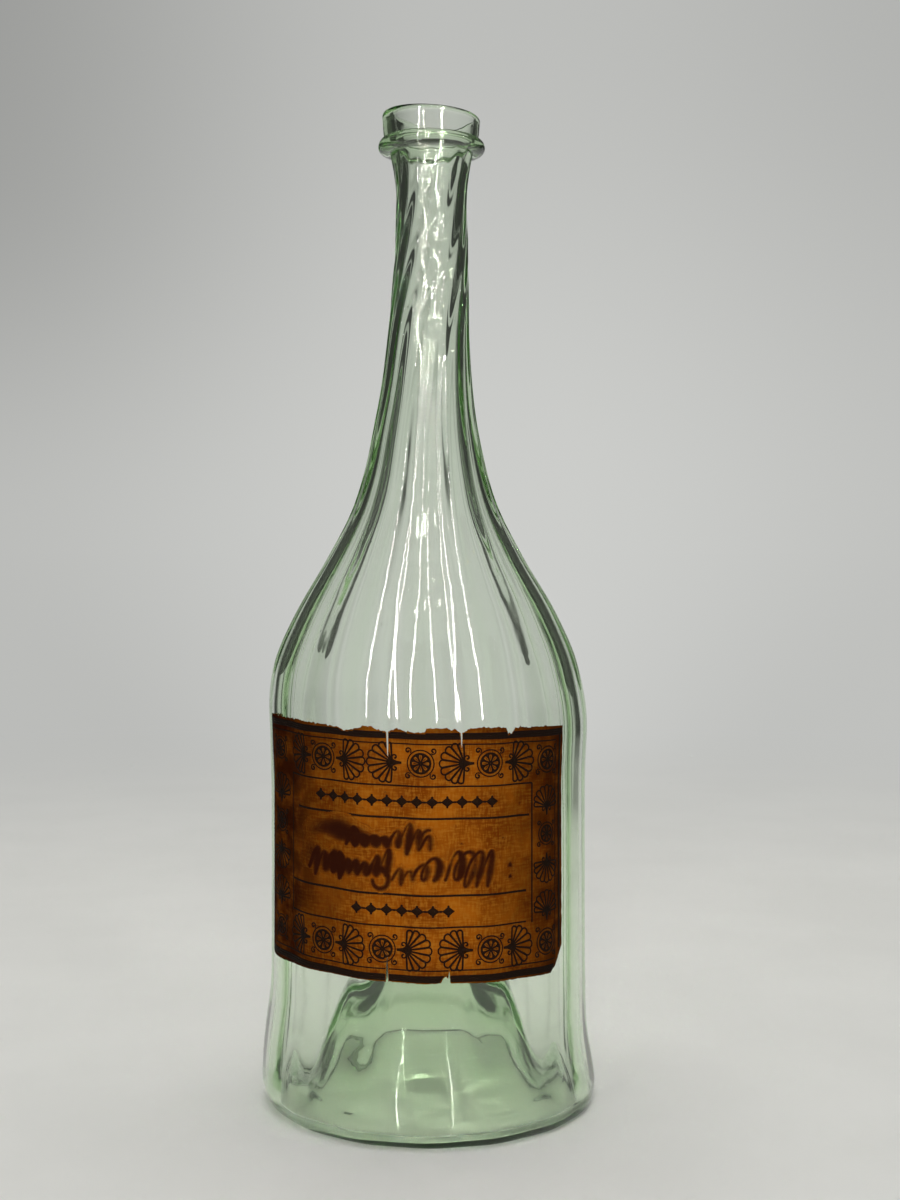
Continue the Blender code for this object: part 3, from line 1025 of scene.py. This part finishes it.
def paper_back_material():
    """The pasted side of the label, seen through the glass: paler paper with dried paste."""
    made, tree, shader, flat = label_material("pasted_back")
    streaks = link_noise(tree, 120.0, 4.0, flat, stretch=(0.5, 1.6, 0.0))
    paste = to_range(tree, streaks, 0.35, 0.65, 0.0, 1.0)
    feed(shader, {"Base Color": mix_colours(tree, paste, PAPER_BACK, DRIED_PASTE),
                  "Roughness": 0.6})
    return made


def print_material():
    """Printer's ink, worn away in specks so that the paper shows."""
    made, tree, shader, flat = label_material("printing_ink")
    worn = to_range(tree, link_noise(tree, 1500.0, 4.0, flat), 0.55, 0.72, 0.0, 0.80)
    rubbed = to_range(tree, link_noise(tree, 210.0, 3.0, flat), 0.50, 0.75, 0.10, 0.75)
    share = math_node(tree, "MAXIMUM", product(tree, worn, rubbed), product(tree, rubbed, 0.18))
    feed(shader, {"Base Color": mix_colours(tree, share, PRINT_INK, paper_colour(tree, flat)),
                  "Roughness": to_range(tree, worn, 0.0, 1.0, 0.5, 0.75)})
    return made


def pen_material():
    """Iron-gall ink that has run and browned: strongest along the middle of a stroke."""
    made, tree, shader, flat = label_material("pen_ink")
    uneven = to_range(tree, link_noise(tree, 330.0, 4.0, flat), 0.30, 0.70, 0.55, 1.25)
    ink = product(tree, split_vector(tree, flat)["Z"], uneven)
    share = to_range(tree, ink, 0.08, 0.80, 0.0, 0.97)
    feed(shader, {"Base Color": mix_colours(tree, share, paper_colour(tree, flat), PEN_INK),
                  "Roughness": 0.66})
    return made


# -------- stage, light and camera

BACK_LIGHT = 0.57           # brightness of the lit backdrop behind the bottle
DIM_LIGHT = 0.040           # and of the dim room round it
TOP_LIGHT = 0.10            # and of the ceiling
FRONT_LIGHT = 0.26          # and of the pale wall that the front of the bottle faces
STUDIO_TINT = (0.99, 1.0, 0.97)
BACKDROP_EDGE = 0.268       # how far the backdrop reaches sideways, as a part of a direction
FLOOR_EDGE = 0.60           # and how far the light that the floor takes over from it does

FLOOR_RADIUS = 30.0
FLOOR_FADE = (0.25, 0.95)   # between these radii the floor passes into the backdrop
FLOOR_TONES = ((0.705, 0.713, 0.695), (0.735, 0.743, 0.725))
PAINTED_UNDER_GLOW = 0.14           # painted glow on the floor under the bottle, standing for the light that the glass gathers there
PAINTED_GLOW_TINT = (0.80, 1.0, 0.66)
GLOW_FADE = (0.034, 0.043)  # the radii between which it ends

STRIP_DISTANCE = 0.65
STRIP_PITCH = 0.0110        # spacing of the diodes along a strip
STRIP_TINT = (1.0, 0.99, 0.96)
DIODE_WIDTH, DIODE_HEIGHT = 0.32, 0.27      # half of each, as shares of the pitch
# Strips: (angle, lower end, upper end, width, strength)
STRIPS = ((-29, 0.13, 0.50, 0.022, 150), (24, 0.13, 0.50, 0.022, 150),
          (-29, 0.50, 1.60, 0.050, 75), (23, 0.50, 1.60, 0.044, 75),
          (3, 1.00, 1.14, 0.060, 90))

LAMP_TINT = (1.0, 0.985, 0.955)
LAMP_AIM = (0.0, 0.0, 0.08)
# Lamps: (name, place, size, power, whether it casts shadows)
LAMPS = (("overhead_light", (0.0, 0.3, 1.8), 2.4, 19.0, True),
         ("overhead_fill", (0.0, 0.0, 1.8), 2.4, 11.0, False),
         ("front_light", (0.02, -1.1, 0.45), 0.4, 3.1, True))

CAMERA_PLACE = (0.0062, -0.4692, 0.1575)
CAMERA_TIP = 1.91           # degrees that it looks down
CAMERA_LENS, CAMERA_SENSOR = 49.41, 36.0    # in millimetres


def studio_light(tree, direction, edge):
    """Brightness of the studio in a direction: a lit backdrop in a dim room."""
    x, y, z = split_vector(tree, direction)
    shade = product(tree, to_range(tree, x, -0.30, 0.00, 0.38, 0.0),
                    to_range(tree, z, 0.00, 0.22, 0.50, 1.0))
    left = math_node(tree, "SUBTRACT", 1.0, shade)
    right = to_range(tree, x, 0.05, 0.32, 1.0, 0.86)
    low = to_range(tree, z, 0.02, 0.32, 1.0, 0.82)
    backdrop = product(tree, left, right, low, BACK_LIGHT)
    aside = math_node(tree, "ABSOLUTE", x)
    reach = product(tree, to_range(tree, aside, edge, edge + 0.08, 1.0, 0.0),
                    to_range(tree, z, 0.33, 0.44, 1.0, 0.0), to_range(tree, y, 0.0, 0.3, 0.0, 1.0))
    above = to_range(tree, z, 0.62, 0.86, 0.0, TOP_LIGHT)
    front = to_range(tree, y, -0.60, -0.20, FRONT_LIGHT, 0.0)
    return total(tree, product(tree, backdrop, reach), DIM_LIGHT, above, front)


def light_world():
    world = bpy.data.worlds.new("studio")
    bpy.context.scene.world = world
    world.use_nodes = True
    tree = world.node_tree
    direction = add_node(tree, "TexCoord").outputs["Generated"]
    feed(tree.nodes["Background"], {"Color": STUDIO_TINT,
                                    "Strength": studio_light(tree, direction, BACKDROP_EDGE)})


def studio_sheet(name, shape, **sizes):
    """A flat sheet of the studio, which isn't part of the bottle."""
    work = bmesh.new()
    shape(work, **sizes)
    mesh = bpy.data.meshes.new(name)
    work.to_mesh(mesh)
    work.free()
    sheet = new_object(name, mesh)
    return sheet


def make_floor():
    """A pale matte floor that melts into the backdrop far from the bottle, with a painted glow on
    it under the bottle.
    """
    floor = studio_sheet("floor", bmesh.ops.create_circle, cap_ends=True, segments=96,
                         radius=FLOOR_RADIUS)
    made, tree, shader = new_material("floor_paper")
    floor.data.materials.append(made)
    mottle = to_range(tree, link_noise(tree, 14.0, 5.0), 0.3, 0.7, 0.0, 1.0)
    place = object_place(tree)
    radius = add_node(tree, "VectorMath", {0: place}, operation="LENGTH").outputs["Value"]
    # The emission under the bottle is a painted glow that stands for the light gathered by the
    # glass, not a lamp.
    feed(shader, {"Roughness": 0.9, "Base Color": mix_colours(tree, mottle, *FLOOR_TONES),
                  "Emission Color": PAINTED_GLOW_TINT,
                  "Emission Strength": to_range(tree, radius, *GLOW_FADE, PAINTED_UNDER_GLOW, 0.0)})
    outwards = add_node(tree, "VectorMath", {0: place}, operation="NORMALIZE").outputs["Vector"]
    far = add_node(tree, "Emission", {"Color": STUDIO_TINT,
                                      "Strength": studio_light(tree, outwards, FLOOR_EDGE)})
    share = to_range(tree, radius, *FLOOR_FADE, 0.0, 1.0)
    mix = add_node(tree, "MixShader", {"Fac": share, 1: shader.outputs["BSDF"],
                                       2: far.outputs["Emission"]})
    feed(tree.nodes["Material Output"], {"Surface": mix.outputs["Shader"]})


def make_strip(name, angle, low, high, width, strength):
    """An upright strip of small diodes, which the glass mirrors as dotted lines."""
    strip = studio_sheet(name, bmesh.ops.create_grid, x_segments=1, y_segments=1, size=0.5)
    turn = math.radians(angle)
    strip.location = at_turn(STRIP_DISTANCE, turn, (low + high) / 2)
    strip.rotation_euler = (math.radians(-90), 0.0, turn)
    strip.scale = (width, high - low, 1.0)
    strip.visible_camera = False
    strip.visible_diffuse = False

    made, tree, shader = new_material(name + "_diodes")
    strip.data.materials.append(made)
    tree.nodes.remove(shader)
    x, y, _ = split_vector(tree, object_place(tree))
    column = product(tree, total(tree, x, 0.5), round(width / STRIP_PITCH))
    row = product(tree, total(tree, y, 0.5), (high - low) / STRIP_PITCH)
    row = total(tree, row, product(tree, math_node(tree, "FLOOR", column), 0.5))
    lit = []
    for cell, reach in ((column, DIODE_WIDTH), (row, DIODE_HEIGHT)):
        off = math_node(tree, "SUBTRACT", math_node(tree, "FRACT", cell), 0.5)
        lit.append(math_node(tree, "LESS_THAN", math_node(tree, "ABSOLUTE", off), reach))
    glow = add_node(tree, "Emission", {"Color": STRIP_TINT,
                                       "Strength": product(tree, *lit, strength)})
    feed(tree.nodes["Material Output"], {"Surface": glow.outputs["Emission"]})


def make_soft_light(name, place, size, power, shadows):
    """A large soft lamp aimed at the bottle, which the glass itself doesn't show."""
    data = bpy.data.lights.new(name, "AREA")
    data.shape = "DISK"
    data.size = size
    data.energy = power
    data.color = LAMP_TINT
    data.use_shadow = shadows
    lamp = new_object(name, data)
    lamp.location = place
    aim = Vector(LAMP_AIM) - Vector(place)
    lamp.rotation_euler = aim.to_track_quat("-Z", "Y").to_euler()
    lamp.visible_camera = False
    lamp.visible_glossy = False
    lamp.visible_transmission = False


def make_camera():
    """Level with the middle of the bottle, a little to its right, tipped slightly down."""
    data = bpy.data.cameras.new("camera")
    data.lens = CAMERA_LENS
    data.sensor_width = CAMERA_SENSOR
    data.clip_start = 0.01
    data.clip_end = 50.0
    camera = new_object("camera", data)
    camera.location = CAMERA_PLACE
    camera.rotation_euler = (math.radians(90 - CAMERA_TIP), 0.0, 0.0)
    bpy.context.scene.camera = camera


def set_light_paths():
    """Let light through many layers of glass, and keep mirrored lines sharp."""
    scene = bpy.context.scene
    scene.view_settings.view_transform = "Standard"
    scene.cycles.max_bounces = 32
    scene.cycles.transmission_bounces = 32
    scene.cycles.glossy_bounces = 16
    scene.cycles.sample_clamp_indirect = 0.0
    scene.cycles.blur_glossy = 0.0


# -------- the bottle

def make_glass():
    body = glass_body_mesh()
    add_seeds(body)
    green = glass_material("green_glass", 60.0, (0.0, 0.03), 160.0, 0.00006)
    add_piece("glass_body_blown", body, green, "green_glass", "glass_body")
    green = glass_material("ring_glass", 64.0, (0.0, 0.04), 220.0, 0.00008)
    add_piece("string_ring_laid", string_ring_mesh(), green, "ring_glass", "string_ring")
    green = glass_material("scar_glass", 70.0, (0.1, 0.5), 500.0, 0.0006)
    add_piece("pontil_scar_rough", pontil_scar_mesh(), green, "scar_glass", "pontil_scar")


def make_label():
    """The paper with its two faces, and the printing and pen strokes on it."""
    label = add_piece("paper_label_torn", paper_label_mesh(), paper_back_material(),
                      "aged_paper", "paper_label")
    label.data.materials.append(paper_material())
    thicken(label, PAPER_THICKNESS, face_material=1)
    printing = print_material()
    for name, mesh, ink in (("label_border_print", print_border(), printing),
                            ("label_rule_print", print_rules(), printing),
                            ("label_pen_strokes", pen_strokes(), pen_material())):
        thicken(add_piece(name, mesh, ink, "aged_paper"), INK_THICKNESS)


def main():
    make_glass()
    make_label()
    light_world()
    make_floor()
    for number, strip in enumerate(STRIPS):
        make_strip(f"light_strip_{number}", *strip)
    for lamp in LAMPS:
        make_soft_light(*lamp)
    make_camera()
    set_light_paths()


main()
